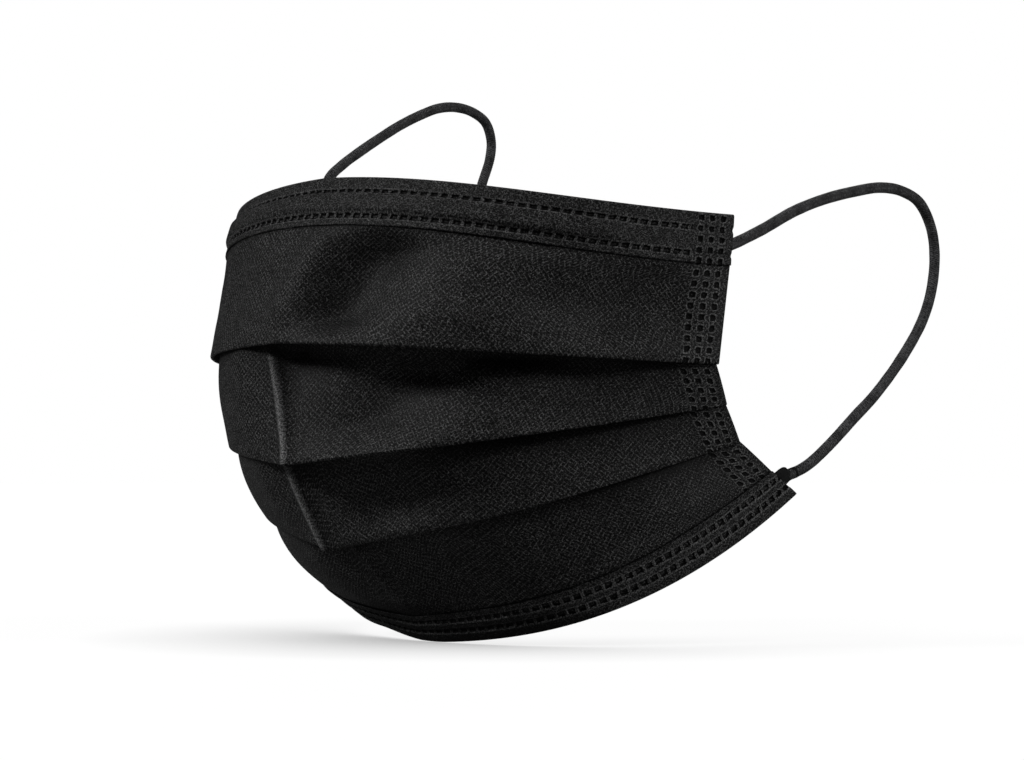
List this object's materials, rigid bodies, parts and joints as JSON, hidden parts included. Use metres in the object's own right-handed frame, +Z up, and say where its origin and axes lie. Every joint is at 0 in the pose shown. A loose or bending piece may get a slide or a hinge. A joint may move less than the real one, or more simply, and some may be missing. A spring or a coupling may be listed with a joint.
{
  "type": "disposable face mask",
  "caption": "Pleated disposable face mask in its worn form, with welded hems, a nose wire and round elastic ear loops.",
  "frame": {"origin": "the spot at the centre of the top hem's inner face that sits on the bridge of the nose", "axes": "+Z up, -Y the way the wearer faces, +X to the wearer's left"},
  "size_m": [0.1216, 0.1314, 0.1149],
  "materials": {
    "spunbond_panel": "matte black spunbond polypropylene with a fine diamond bond pattern",
    "spunbond_hem": "matte black folded spunbond with welded dashes",
    "nose_wire_steel": "flat coated steel wire",
    "elastic_cord": "charcoal round knitted elastic",
    "elastic_weld": "flattened, fused elastic"
  },
  "bodies": {
    "root": {"mask_body": "spunbond_panel", "top_hem": "spunbond_hem", "bottom_hem": "spunbond_hem", "nose_wire": "nose_wire_steel", "ear_loop_left": "elastic_cord", "ear_loop_right": "elastic_cord", "loop_weld_top_left": "elastic_weld", "loop_weld_top_right": "elastic_weld", "loop_weld_bottom_left": "elastic_weld", "loop_weld_bottom_right": "elastic_weld"}
  },
  "joints": []
}
